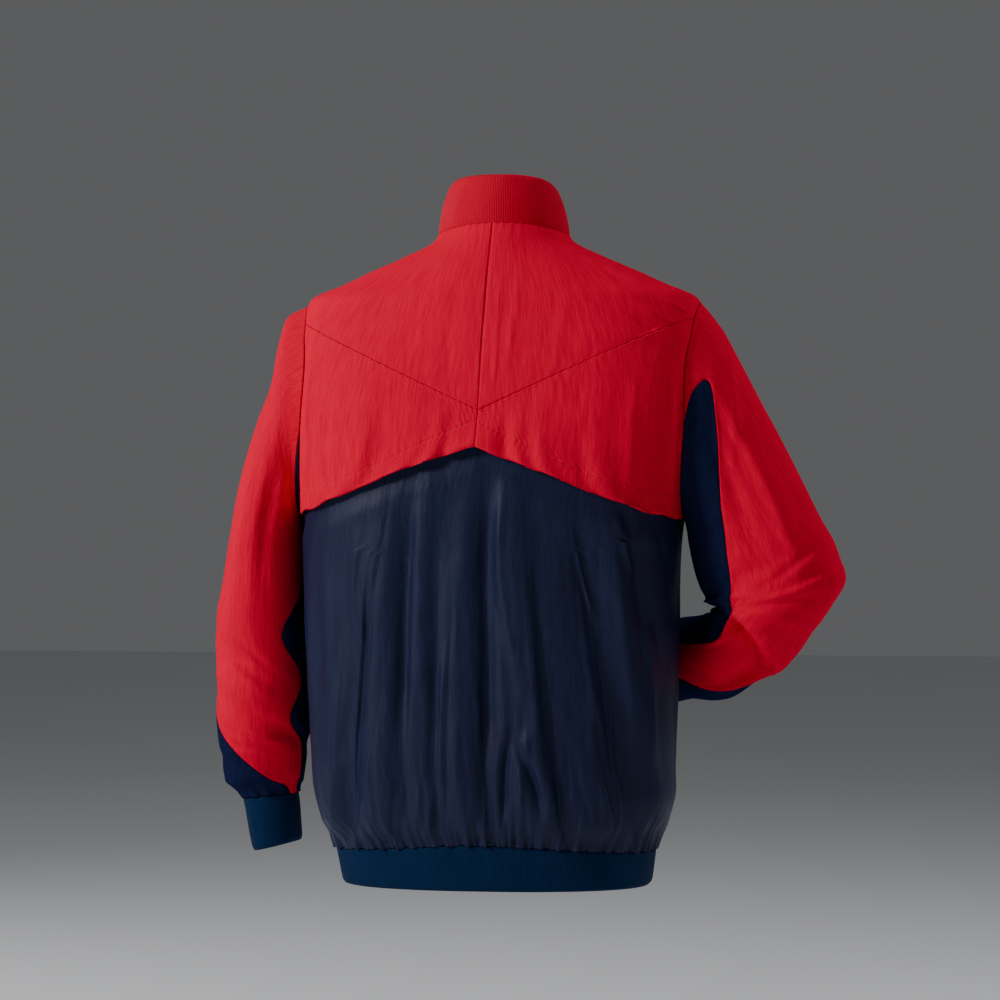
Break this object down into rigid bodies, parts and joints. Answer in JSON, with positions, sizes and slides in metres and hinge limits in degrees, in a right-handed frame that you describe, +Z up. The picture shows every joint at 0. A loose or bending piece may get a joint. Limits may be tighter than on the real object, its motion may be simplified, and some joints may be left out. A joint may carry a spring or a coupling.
{
  "type": "windbreaker jacket",
  "caption": "Two-tone windbreaker with a V back yoke, loose back flaps, knit collar, cuffs and waistband, and a front zip, in its worn form.",
  "frame": {"origin": "midway between the shoulders, at the height of the base of the neck", "axes": "+Z up, +Y to the wearer's front, +X to the wearer's right"},
  "size_m": [0.6662, 0.3329, 0.737],
  "materials": {
    "shell_red": "crinkled nylon, soft sheen",
    "shell_navy": "crinkled nylon, soft sheen",
    "rib_red": "fine rib knit, matte",
    "rib_blue": "fine rib knit, matte",
    "zip_tape": "woven tape",
    "zip_metal": "satin"
  },
  "bodies": {
    "garment": {"collar": "rib_red", "yoke_back_left": "shell_red", "yoke_back_right": "shell_red", "flap_left": "shell_red", "flap_right": "shell_red", "back_lower": "shell_navy", "front_upper_left": "shell_red", "front_upper_right": "shell_red", "front_lower_left": "shell_navy", "front_lower_right": "shell_navy", "hem_rib": "rib_blue", "sleeve_top_left": "shell_red", "sleeve_under_left": "shell_navy", "cuff_left": "rib_blue", "sleeve_top_right": "shell_red", "sleeve_under_right": "shell_navy", "cuff_right": "rib_blue", "zip_tape_left": "zip_tape", "zip_tape_right": "zip_tape", "zip_chain": "zip_metal", "zip_slider": "zip_metal"},
    "pull_tab": {"zip_pull_tab": "zip_metal"}
  },
  "joints": [
    {"name": "pull_tab_swing", "type": "hinge", "parent": "garment", "child": "pull_tab", "pos_m": [0.0045, 0.06587, 0.00283], "axis": [1, 0, 0], "range_deg": [0, 150]}
  ]
}
